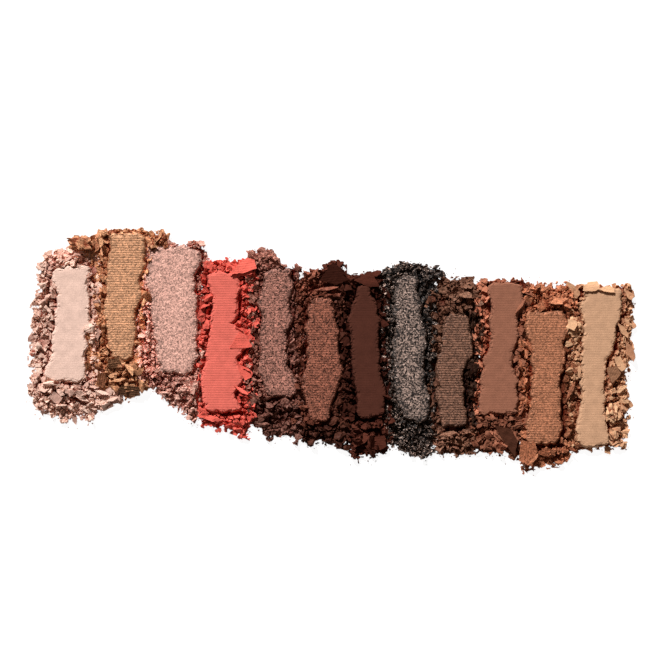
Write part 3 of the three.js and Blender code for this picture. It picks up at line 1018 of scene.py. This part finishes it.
# Large pieces that lie in the banks, by shade.
BANK_FLAKES = {
    "pale_pink": [
        Flake("tile", -79.5, -14.1, 3.6, 2.8, turn=-40, tilt=12, lift=-0.9, tone=0.7),
        Flake("lump", -86.4, -1.3, 2.6, 2.4, lift=-1.8, tone=0.8),
        Flake("splinter", -76.0, -12.2, 6.0, 1.2, turn=-12, tilt=30, lift=-1.2, tone=0.8),
        Flake("splinter", -72.5, -14.6, 5.0, 1.1, turn=-25, tilt=-25, lift=-1.4),
        Flake("mound", -64.8, -13.8, 9.6, 6.0, lift=-1.0),
        Flake("mound", -67.6, -16.6, 5.0, 4.4, lift=-1.1),
        Flake("splinter", -66.5, -13.0, 4.4, 1.2, turn=-20, tilt=-25, lift=-0.8, tone=1.1),
        Flake("splinter", -63.4, -15.0, 4.0, 1.1, turn=15, tilt=-20, lift=-1.2),
    ],
    "gold": [
        Flake("tile", -66.7, -9.1, 4.4, 3.0, turn=80, tilt=25, lift=-1.1, tone=0.5, glow=0.8),
        Flake("tile", -58.4, -12.0, 6.4, 3.4, turn=-6, tilt=24, lift=-1.7, tone=0.9, glow=0.3),
        Flake("splinter", -61.5, -9.4, 4.4, 1.0, turn=8, tilt=-20, lift=-1.0, tone=1.1),
        Flake("mound", -70.2, 28.2, 7.0, 5.0, lift=-1.1),
        Flake("mound", -54.6, -10.4, 4.6, 4.0, lift=-1.1),
    ],
    "coral": [
        Flake("splinter", -26.2, -12.4, 4.8, 1.2, turn=-35, tilt=-25, lift=-0.6, tone=1.2),
        Flake("splinter", -34.8, -20.4, 5.4, 1.8, turn=-12, tilt=-15, lift=-1.5, tone=1.2),
        Flake("wedge", -25.0, -6.4, 5.4, 3.6, turn=-70, tilt=-10, lift=-1.2, tone=0.95),
        Flake("tile", -37.5, 13.0, 4.6, 2.0, turn=85, tilt=30, lift=-1.3, tone=0.6),
    ],
    "rose_bronze": [
        Flake("lump", -12.8, -15.8, 3.2, 2.6, lift=-1.2, tone=1.1),
    ],
    "copper": [
        Flake("splinter", -1.6, 17.0, 7.6, 1.1, turn=6, tilt=-25, lift=-0.9, tone=1.0),
        Flake("splinter", -1.0, 15.6, 6.4, 1.1, turn=-4, tilt=25, lift=-1.0, tone=0.7),
        Flake("mound", -4.9, 21.2, 4.4, 4.0, lift=-1.0),
        Flake("mound", 2.6, -27.2, 4.6, 3.6, lift=-1.0),
    ],
    "chocolate": [
        Flake("tent", 10.6, 20.2, 7.2, 4.8, turn=-10, tilt=-4, lift=-1.0, tone=0.8),
        Flake("splinter", 16.0, 16.5, 4.6, 1.2, turn=-55, tilt=25, lift=-0.8, tone=0.6),
    ],
    "black": [
        Flake("mound", 30.0, 21.8, 5.0, 5.0, lift=-0.9),
    ],
    "taupe": [
        Flake("wedge", 38.5, 15.4, 4.4, 2.4, turn=-15, tilt=-25, lift=-0.4, tone=1.35),
        Flake("splinter", 33.5, -25.0, 5.6, 1.6, turn=8, tilt=-22, lift=-1.4, tone=1.2),
        Flake("splinter", 37.5, -27.4, 6.0, 1.6, turn=-6, tilt=-12, lift=-1.9, tone=1.15),
        Flake("lump", 41.5, -6.5, 3.0, 4.2, lift=-1.3, tone=0.7),
    ],
    "rosewood": [
        Flake("splinter", 54.8, 12.0, 5.6, 1.0, turn=52, tilt=-20, lift=-0.5, tone=1.1),
    ],
    "terracotta": [
        Flake("splinter", 69.3, -12.3, 6.2, 1.2, turn=62, tilt=-20, lift=-0.7, tone=0.9),
        Flake("wedge", 64.8, 13.6, 4.4, 2.4, turn=-10, tilt=-20, lift=-0.7, tone=1.15),
        Flake("tile", 56.6, -30.2, 7.0, 5.2, turn=80, tilt=-6, lift=-1.1, tone=0.8, glow=0.95),
        Flake("wedge", 61.4, -29.6, 4.6, 2.6, turn=-20, tilt=14, lift=-1.2, tone=0.7),
    ],
    "beige": [
        Flake("tent", 81.0, -6.8, 6.0, 5.0, turn=62, tilt=22, lift=-0.7, tone=0.7),
        Flake("tile", 83.2, -4.4, 4.6, 2.6, turn=-62, tilt=-12, lift=-0.6, tone=1.15),
        Flake("splinter", 86.6, -0.6, 6.6, 2.2, turn=-72, tilt=25, lift=-1.6, tone=0.65),
        Flake("splinter", 84.2, 5.2, 5.4, 1.8, turn=-60, tilt=-15, lift=-1.2, tone=0.9),
        Flake("lump", 80.8, -18.6, 3.4, 4.4, turn=8, lift=-0.9, tone=1.25),
        Flake("tile", 75.2, 17.6, 5.0, 2.6, turn=6, tilt=-12, lift=-0.7, tone=1.15, glow=1.1),
        Flake("wedge", 79.6, 17.2, 5.0, 2.2, turn=-16, tilt=-16, lift=-0.6, tone=1.2, glow=1.1),
    ],
}


def any_outline(rng):
    """Corners of a small flake: an uneven polygon that reaches about 1 from its middle."""
    corners = int(rng.integers(4, 6))
    angles = (np.arange(corners) + rng.uniform(-0.3, 0.3, corners)) / corners * 2 * math.pi
    reach = rng.uniform(0.65, 1.2, corners)
    return list(zip(np.cos(angles) * reach, np.sin(angles) * reach))


def rays(outline, rng):
    """How far the outline is from its middle in each of the flake's sectors, a little ragged."""
    x, y = np.array(outline, float).T
    sectors = np.arange(SECTORS) / SECTORS * 2 * math.pi
    cosines, sines = np.cos(sectors), np.sin(sectors)
    radius = np.zeros(SECTORS)
    for here in range(len(x)):
        there = (here + 1) % len(x)
        dx, dy = x[there] - x[here], y[there] - y[here]
        turn = cosines * dy - sines * dx
        hit = (x[here] * dy - y[here] * dx) / np.where(np.abs(turn) < 1e-6, 1e-6, turn)
        along = ((cosines * hit - x[here]) * dx + (sines * hit - y[here]) * dy) / (dx**2 + dy**2)
        on_side = (hit > 0) & (along >= -0.01) & (along <= 1.01)
        radius = np.where(on_side, np.maximum(radius, hit), radius)
    return radius * (1 + 0.1 * line_noise(sectors * 6, 0.8, int(rng.integers(1, 999))))


def plate_arrays(rng, outline, length, width, thickness, ribs):
    """A broken flake of the pressed face, ribbed on top and rough at its sides, about its middle."""
    radius = rays(outline, rng)
    sectors = np.arange(SECTORS) / SECTORS * 2 * math.pi
    seed = int(rng.integers(1, 9999))
    reach_x, reach_y = np.cos(sectors) * radius * length / 2, np.sin(sectors) * radius * width / 2
    rim = np.stack([reach_x, reach_y], axis=1)
    layers = [np.array([[0.0, 0.0, thickness]])]
    for ring in range(1, TOP_RINGS + 1):
        share = ring / TOP_RINGS
        layers.append(np.column_stack([rim * share, np.full(SECTORS, thickness)]))
    for ring in range(1, SIDE_RINGS + 1):
        share = ring / SIDE_RINGS
        layers.append(np.column_stack([rim * (1 - 0.16 * share), np.full(SECTORS, thickness * (1 - share))]))
    layers.append(np.array([[0.0, 0.0, 0.0]]))
    points = np.concatenate(layers)
    on_top = slice(0, 1 + TOP_RINGS * SECTORS)
    points[on_top, 2] += rib_wave(points[on_top], ribs, 0.0, seed)
    points[on_top, 2] += 0.1 * fractal(points[on_top], 1.4, seed + 5)
    points[:, 2] += (points[:, 0] / length) ** 2 * 0.5
    below = slice(1 + TOP_RINGS * SECTORS, None)
    for axis in range(3):
        points[below, axis] += 0.16 * fractal(points[below], 0.7, seed + axis)
    rings = TOP_RINGS + SIDE_RINGS
    first = 1 + np.arange(SECTORS)
    triangles = [np.stack([np.zeros(SECTORS, int), first, np.roll(first, -1)], axis=1)]
    for ring in range(rings - 1):
        inner = first + ring * SECTORS
        triangles.append(quads_to_triangles(wall_quads(inner, inner + SECTORS)))
    triangles.append(fan(first + (rings - 1) * SECTORS, 1 + rings * SECTORS))
    tones = np.ones(len(points))
    # Painted shade on the flake's sides and underside.
    tones[below] = 0.6
    return points, np.concatenate(triangles), tones


def lump_arrays(rng, length, width):
    """A rough block of powder, creased where its grains have parted, with painted shade in its creases."""
    height = 0.6 * min(length, width)
    points, triangles = rough_shard(hull_shard(rng, 26, np.ones(3)), rng, 6, 0.09)
    crease = np.abs(fractal(points, 0.36, int(rng.integers(1, 9999))))
    points = points * (0.78 + 0.9 * crease)[:, None] * np.array([length, width, height])
    # Painted shade: the tone falls to nearly 0 in the creases.
    return points, triangles, 0.05 + 1.1 * smoothstep(0.0, 0.3, crease)


def lay_flake(heap, strip, flake, middle, rng):
    """Puts a flake down near a middle in plan."""
    if flake.form == "lump":
        points, triangles, tones = lump_arrays(rng, flake.length, flake.width)
    else:
        ribs = max(strip.shade.ribs, LEAST_RIBS)
        outline = OUTLINES[flake.form]
        points, triangles, tones = plate_arrays(
            rng, outline, flake.length, flake.width, FLAKE_THICKNESS, ribs
        )
    turn, tilt = math.radians(flake.turn), math.radians(flake.tilt)
    spin = turns_about(2, [turn])[0] @ turns_about(0, [tilt])[0]
    moved = points @ spin.T
    moved[:, :2] += np.array([flake.x, flake.y]) + middle
    moved[:, 2] += max(strip.top + flake.lift - moved[:, 2].min(), -moved[:, 2].min())
    # The flake's tone and glow paint shade or highlights onto it, by flake.
    heap.add(moved, triangles, tones * flake.tone, flake.glow)


def zone_of(strip, y):
    """Which of the strip's banks a place at y belongs to."""
    if y > strip.head:
        return "head"
    return "foot" if y < strip.foot else "side"


def add_bank_flakes(heap, stock, strip, zone, rng):
    """Lays the large pieces that belong in a zone's banks, each in its own place."""
    for flake in BANK_FLAKES.get(strip.name, []):
        if zone_of(strip, flake.y) != zone:
            continue
        if flake.form == "mound":
            radii = flake.length / 2, flake.width / 2
            add_mound(heap, stock, strip, (flake.x, flake.y), radii, strip.top + flake.lift, rng)
        else:
            lay_flake(heap, strip, flake, np.zeros(2), rng)


def add_small_flakes(heap, strip, zone, count, rng):
    """Lays a number of small ribbed flakes anywhere on a zone's banks."""
    places = pick_places(strip, zone, "plate", rng)
    rng.shuffle(places)
    for x, y, height in places[:count]:
        size = rng.uniform(*SMALL_FLAKE_SIZE)
        thickness = rng.uniform(0.3, 0.6)
        ribs = max(strip.shade.ribs, LEAST_RIBS)
        points, triangles, tones = plate_arrays(
            rng, any_outline(rng), size, size * rng.uniform(0.4, 0.8), thickness, ribs
        )
        spin = turns(rng, 0.45, strip.edge_angle(np.array([y])))[0]
        moved = points @ spin.T + np.array([x, y, 0])
        moved[:, 2] += max(height - 0.3, -moved[:, 2].min())
        level = bank_level(strip, strip.spread(x, y))
        # Painted shade: the flake is painted deeper in colour where it lies low in the bank.
        heap.add(moved, triangles, tones * rng.uniform(0.7, 1.2) * painted_depth_shade(moved[:, 2], level))


def add_mound(heap, stock, strip, middle, radii, height, rng):
    """A small heap of broken powder about a middle in plan."""
    line_x = np.arange(-radii[0], radii[0], CRUST_STEP)
    line_y = np.arange(-radii[1], radii[1], CRUST_STEP)
    x, y = np.meshgrid(line_x, line_y)
    crack, cell, middle_x, middle_y = fragments(x, y, FRAGMENT * 0.8, strip.seed + 200)
    wander = 0.14 * lattice(cell, strip.seed + 201)
    share = np.hypot(middle_x / radii[0], middle_y / radii[1]) + wander
    level = height * (1 - 0.7 * np.clip(share, 0, 1) ** 2)
    surface = level * (0.35 + 0.65 * smoothstep(0, 0.3, crack))
    surface += 0.5 * lattice(cell, strip.seed + 202) * (x - middle_x)
    surface = np.maximum(surface, 0.12)
    x, y = x + middle[0], y + middle[1]
    # Painted shade: the mound is painted deeper in colour where it lies low.
    add_block(heap, x, y, surface, share < 0.92, painted_depth_shade(surface, level))
    area = math.pi * radii[0] * radii[1]
    for kind, rule in CRUMB_KINDS.items():
        count = round(area * rule.density / strip.shade.crumb**2)
        reach = np.sqrt(rng.uniform(0, 1, count))
        angle = rng.uniform(0, 2 * math.pi, count)
        lift = height * (1 - 0.7 * reach**2)
        plan_x = middle[0] + radii[0] * reach * np.cos(angle)
        plan_y = middle[1] + radii[1] * reach * np.sin(angle)
        low, high = rule.size
        sizes = strip.shade.crumb * rng.uniform(low, high, count)
        scatter(heap, stock, kind, np.stack([plan_x, plan_y, lift], axis=1), lift, sizes, strip, rng)


# ---------------------------------------------------------------- materials


NOISE_DETAIL = 3.0
NOISE_RANGE = (0.3, 0.7)
MATTE_MOTTLE = 0.1


def linear(colour):
    """An sRGB colour in bytes as linear shares."""
    shares = np.array(colour) / 255
    return np.where(shares <= 0.04045, shares / 12.92, ((shares + 0.055) / 1.055) ** 2.4)


class Nodes:
    """Short ways to add and join shader nodes."""

    def __init__(self, name):
        self.material = bpy.data.materials.new(name)
        self.material.use_nodes = True
        self.tree = self.material.node_tree
        self.shader = self.tree.nodes["Principled BSDF"]

    def node(self, kind, **settings):
        node = self.tree.nodes.new(kind)
        for key, value in settings.items():
            setattr(node, key, value)
        return node

    def join(self, start, end):
        self.tree.links.new(start, end)

    def millimetres(self):
        """Object coordinates in millimetres."""
        place = self.node("ShaderNodeTexCoord").outputs["Object"]
        scale = self.node("ShaderNodeVectorMath", operation="SCALE")
        scale.inputs["Scale"].default_value = 1 / MM
        self.join(place, scale.inputs[0])
        return scale.outputs["Vector"]

    def noise(self, place, size):
        noise = self.node("ShaderNodeTexNoise")
        noise.inputs["Scale"].default_value = 1 / size
        noise.inputs["Detail"].default_value = NOISE_DETAIL
        self.join(place, noise.inputs["Vector"])
        return noise.outputs["Fac"]

    def flecks(self, place, size):
        """A random grey for each fleck of about the given size."""
        cells = self.node("ShaderNodeTexVoronoi", feature="F1")
        cells.inputs["Scale"].default_value = 1 / size
        self.join(place, cells.inputs["Vector"])
        grey = self.node("ShaderNodeSeparateColor")
        self.join(cells.outputs["Color"], grey.inputs["Color"])
        return grey.outputs["Red"]

    def ramp(self, value, low, high, out_low, out_high):
        """Maps value from low..high to out_low..out_high, held at the ends."""
        ramp = self.node("ShaderNodeMapRange")
        ramp.inputs["From Min"].default_value = low
        ramp.inputs["From Max"].default_value = high
        ramp.inputs["To Min"].default_value = out_low
        ramp.inputs["To Max"].default_value = out_high
        self.join(value, ramp.inputs["Value"])
        return ramp.outputs["Result"]

    def around_one(self, value, low, high, share):
        """Maps value from low..high to 1 less the share up to 1 and the share."""
        return self.ramp(value, low, high, 1 - share, 1 + share)

    def multiply(self, a, b):
        maths = self.node("ShaderNodeMath", operation="MULTIPLY")
        self.join(a, maths.inputs[0])
        self.join(b, maths.inputs[1])
        return maths.outputs["Value"]

    def attribute(self, name):
        return self.node("ShaderNodeAttribute", attribute_name=name).outputs["Fac"]

    def scaled(self, vector, factor):
        """A colour from another node, made lighter or darker by factor."""
        scale = self.node("ShaderNodeVectorMath", operation="SCALE")
        self.join(vector, scale.inputs[0])
        self.join(factor, scale.inputs["Scale"])
        return scale.outputs["Vector"]

    def tinted(self, colour, factor):
        """A fixed colour, made lighter or darker by factor."""
        scale = self.node("ShaderNodeVectorMath", operation="SCALE")
        scale.inputs[0].default_value = colour
        self.join(factor, scale.inputs["Scale"])
        return scale.outputs["Vector"]

    def mixed(self, factor, dark, light):
        mix = self.node("ShaderNodeMix", data_type="RGBA", clamp_factor=False)
        mix.inputs["A"].default_value = (*dark, 1)
        mix.inputs["B"].default_value = (*light, 1)
        self.join(factor, mix.inputs["Factor"])
        return mix.outputs["Result"]

    def bump(self, height, depth):
        bump = self.node("ShaderNodeBump")
        bump.inputs["Distance"].default_value = depth * MM
        bump.inputs["Strength"].default_value = 1.0
        self.join(height, bump.inputs["Height"])
        self.join(bump.outputs["Normal"], self.shader.inputs["Normal"])

    def set(self, **values):
        for key, value in values.items():
            self.shader.inputs[key.replace("_", " ")].default_value = value


# Painted crevice shade is red: its green is this share of its red.
DEEP_GREEN = 0.08


def powder_colour(nodes, shade, pressed, variation):
    """The colour of powder: a pressed face's own, or for crumbs from a painted red crevice shade to a bright
    top.
    """
    colour = linear(shade.colour)
    if pressed:
        return nodes.tinted(colour, nodes.multiply(variation, nodes.attribute("tone")))
    peak = colour.max()
    redder = np.clip(math.log(DEEP_GREEN) / math.log(colour[1] / peak), 2.2, 6)
    # The deep colour is painted crevice shade, dark and red.
    deep = 0.34 * peak * (colour / peak) ** redder
    # Shimmer and sparkle crumbs get a painted sheen that makes their bright colour paler.
    painted_sheen = 0.0 if shade.finish == "matte" else 0.015
    light = shade.glow * peak * ((colour / peak) ** 1.12 + painted_sheen)
    # The tone mixes in the painted crevice shade, and the glow adds painted light and shade.
    blend = nodes.mixed(nodes.attribute("tone"), deep, light)
    return nodes.scaled(blend, nodes.multiply(variation, nodes.attribute("glow")))


def matte_powder(name, shade, pressed):
    """Fine dull powder: mottled, with a soft grain."""
    nodes = Nodes(name)
    place = nodes.millimetres()
    mottle = nodes.around_one(nodes.noise(place, 2.2), *NOISE_RANGE, MATTE_MOTTLE)
    speckle = nodes.around_one(nodes.noise(place, 0.3), *NOISE_RANGE, 1.5 * MATTE_MOTTLE)
    base = powder_colour(nodes, shade, pressed, nodes.multiply(mottle, speckle))
    nodes.join(base, nodes.shader.inputs["Base Color"])
    dullness = nodes.ramp(nodes.noise(place, 0.5), *NOISE_RANGE, 0.85, 0.97)
    nodes.join(dullness, nodes.shader.inputs["Roughness"])
    nodes.set(Specular_IOR_Level=0.05)
    if pressed:
        nodes.bump(nodes.noise(place, 0.14), 0.02)
    return nodes.material


def shimmer_powder(name, shade, pressed, metal):
    """Pearly powder: flecks of mica, each catching the light differently, in brighter and duller areas."""
    nodes = Nodes(name)
    place = nodes.millimetres()
    flecks = nodes.flecks(place, 0.3)
    contrast = shade.sparkle if pressed else USUAL_SPARKLE
    glints = nodes.around_one(flecks, 0.0, 1.0, contrast)
    mottle = nodes.around_one(nodes.noise(place, 1.3), *NOISE_RANGE, contrast / 3)
    base = powder_colour(nodes, shade, pressed, nodes.multiply(glints, mottle))
    nodes.join(base, nodes.shader.inputs["Base Color"])
    nodes.join(nodes.ramp(flecks, 0.0, 1.0, 0.4, 0.7), nodes.shader.inputs["Roughness"])
    nodes.set(Metallic=metal if pressed else metal / 3, Specular_IOR_Level=0.25 if pressed else 0.1)
    if pressed:
        nodes.bump(nodes.noise(place, 0.2), 0.03)
    return nodes.material


# By whether the powder is pressed: the fleck brightness that glitter starts at, and the sRGB bytes of the
# powder and of the glitter.
GLITTER = {
    True: (0.35, (34, 23, 18), (212, 182, 167)),
    False: (0.55, (30, 19, 14), (198, 168, 152)),
}


def glitter_powder(name, pressed):
    """Black powder full of silver glitter."""
    nodes = Nodes(name)
    place = nodes.millimetres()
    start, dark, light = GLITTER[pressed]
    flecks = nodes.ramp(nodes.flecks(place, 0.34), start, 1.0, 0.0, 1.0)
    glints = nodes.mixed(flecks, linear(dark), linear(light))
    # The tone carries painted shade, so the glitter is painted darker low in the banks.
    depth = nodes.ramp(nodes.attribute("tone"), 0.0, 1.0, 0.15, 1.0)
    base = nodes.scaled(glints, nodes.multiply(nodes.attribute("glow"), depth))
    nodes.join(base, nodes.shader.inputs["Base Color"])
    nodes.join(nodes.ramp(flecks, 0.0, 1.0, 0.7, 0.35), nodes.shader.inputs["Roughness"])
    nodes.set(Metallic=0.25)
    if pressed:
        nodes.bump(flecks, 0.04)
    return nodes.material


def powder(shade, pressed):
    """The material of a shade's pressed face, or of its crumbs."""
    kind = "pressed" if pressed else "crumbled"
    name = f"{shade.name}_{kind}"
    if shade.finish == "matte":
        return matte_powder(name, shade, pressed)
    if shade.finish == "shimmer":
        return shimmer_powder(name, shade, pressed, metal=0.3)
    if shade.finish == "sparkle":
        return shimmer_powder(name, shade, pressed, metal=0.35)
    return glitter_powder(name, pressed)


# ---------------------------------------------------------------- pieces


def settle(piece, shade, *nodes):
    """Ties a finished piece to the frame, in place of the CAD nodes that it stands for."""
    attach(piece, BODY)
    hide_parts(*nodes)


def side_nodes(strip):
    """The CAD banks that a strip's side crumbs stand for: each seam belongs to the strip on its left."""
    right = strip.neighbours[1]
    nodes = [f"{strip.name}_{right.name}_bank" if right else f"{strip.name}_outer_bank"]
    if strip.neighbours[-1] is None:
        nodes.append(f"{strip.name}_outer_bank")
    return nodes


def make_banks(strip, stock, material):
    """One piece for the head banks of a strip, one for its foot banks and one for its side banks."""
    pieces = {
        "head": [f"{strip.name}_head_bank"],
        "foot": [f"{strip.name}_foot_bank"],
        "side": side_nodes(strip),
    }
    for number, (zone, nodes) in enumerate(pieces.items()):
        heap = Heap()
        rng = np.random.default_rng([strip.seed, number])
        add_crust(heap, strip, zone)
        fill_zone(heap, stock, strip, zone, rng)
        add_small_flakes(heap, strip, zone, strip.shade.flakes // (1 if zone == "foot" else 2), rng)
        add_bank_flakes(heap, stock, strip, zone, rng)
        # The glow paints light and shade past the head, shadow past the foot, and at the sides partly mixes
        # in neighbours' powder and partly paints shade in the seams.
        piece = heap.make(f"{strip.name}_{zone}_crumbs", material, partial(painted_light_and_mix, strip))
        settle(piece, strip.shade, *nodes)


def make_large_flake(node, strip, stock, material):
    """One of the large loose flakes, on a small mound of its own crumbs."""
    low, high = node_box(node)
    rng = np.random.default_rng([len(node), int(abs(low[0]) * 10)])
    heap = Heap()
    middle = ((low + high) / 2)[:2]
    radii = np.clip((high - low)[:2] * 0.66, 2.2, 4.2)
    add_mound(heap, stock, strip, middle, radii, strip.top * 0.85, rng)
    for flake in LOOSE[node]:
        lay_flake(heap, strip, flake, middle, rng)
    settle(heap.make(f"{node}_heap", material), strip.shade, node)


def flake_nodes(strips):
    """Each loose flake in the CAD model with the strip whose shade it is of."""
    for node in sorted(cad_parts):
        if node.endswith(("_flake", "_chunk")):
            owners = [strip for strip in strips if node.startswith(strip.name)]
            yield node, max(owners, key=lambda strip: len(strip.name))


def make_row():
    strips = lay_out()
    stock = make_shards()
    crumbled = {}
    for strip in strips:
        piece = make_strip(strip, powder(strip.shade, pressed=True))
        settle(piece, strip.shade, f"{strip.name}_strip")
        crumbled[strip.name] = powder(strip.shade, pressed=False)
        make_banks(strip, stock, crumbled[strip.name])
    for node, strip in flake_nodes(strips):
        make_large_flake(node, strip, stock, crumbled[strip.name])


# ---------------------------------------------------------------- floor, light and camera


# The stage's radius is in metres, and the gap between the row and the floor in millimetres.
STAGE_RADIUS = 3.0
FLOOR_GAP = 0.02
WALL_SEGMENTS = 64

KEY_DIRECTION = (0.42, -0.95, -0.7)
KEY_STRENGTH = 4.8
KEY_WIDTH = math.radians(6)
FILL_COLOUR = (1.0, 0.78, 0.66, 1)
FILL_STRENGTH = 0.12

# The camera: lens and sensor in millimetres, the place it looks at in metres, and how much wider than
# the row its picture is.
LENS = 100
SENSOR = 36
ELEVATION = math.radians(86)
LOOK_AT = Vector((0.001, 0.004, 0.001))
PICTURE_WIDTH = 1.1


def glowing_white(name, grey, roughness, strength):
    """White that gives off light of its own, and reflects a grey share of the light that falls on it."""
    nodes = Nodes(name)
    nodes.set(Base_Color=(grey, grey, grey, 1), Roughness=roughness, Specular_IOR_Level=0.0)
    nodes.set(Emission_Color=(1, 1, 1, 1), Emission_Strength=strength)
    return nodes.material


def make_floor():
    """A plain white floor, lit a little from within, as a light table is."""
    mesh = bpy.data.meshes.new("floor")
    half = STAGE_RADIUS
    corners = [(-half, -half, 0), (half, -half, 0), (half, half, 0), (-half, half, 0)]
    mesh.from_pydata(corners, [], [(0, 1, 2, 3)])
    mesh.materials.append(glowing_white("white_floor", 0.25, 0.95, 0.93))
    floor = add_object("floor", mesh)
    floor.location.z = -FLOOR_GAP * MM


def make_backdrop():
    """A plain pale wall all round, far behind the floor. It neither lights nor shades the row."""
    wall = bmesh.new()
    size = {"radius1": STAGE_RADIUS, "radius2": STAGE_RADIUS, "depth": 2 * STAGE_RADIUS}
    bmesh.ops.create_cone(wall, cap_ends=False, segments=WALL_SEGMENTS, **size)
    mesh = bpy.data.meshes.new("backdrop")
    wall.to_mesh(mesh)
    wall.free()
    mesh.materials.append(glowing_white("pale_backdrop", 0, 1.0, 0.9))
    backdrop = add_object("backdrop", mesh)
    backdrop.visible_diffuse = False
    backdrop.visible_glossy = False
    backdrop.visible_shadow = False


def aim(thing, direction):
    thing.rotation_euler = Vector(direction).to_track_quat("-Z", "Y").to_euler()


def make_lights():
    """One key light from behind and a little from the left, and a weak even fill."""
    key = add_object("key", bpy.data.lights.new("key", "SUN"))
    key.data.energy = KEY_STRENGTH
    key.data.angle = KEY_WIDTH
    aim(key, KEY_DIRECTION)
    world = bpy.data.worlds.new("studio")
    world.use_nodes = True
    background = world.node_tree.nodes["Background"]
    background.inputs["Color"].default_value = FILL_COLOUR
    background.inputs["Strength"].default_value = FILL_STRENGTH
    bpy.context.scene.world = world


def make_camera():
    """Almost straight down, far enough away for little perspective."""
    data = bpy.data.cameras.new("camera")
    data.lens = LENS
    data.sensor_width = SENSOR
    width = (cad_box[1][0] - cad_box[0][0]) * PICTURE_WIDTH
    distance = width * LENS / SENSOR
    camera = add_object("camera", data)
    back = Vector((0, -math.cos(ELEVATION), math.sin(ELEVATION)))
    camera.location = LOOK_AT + back * distance
    aim(camera, -back)
    data.clip_start = 0.01
    bpy.context.scene.camera = camera


make_row()
make_floor()
make_backdrop()
make_lights()
make_camera()
bpy.context.scene.view_settings.view_transform = "Standard"
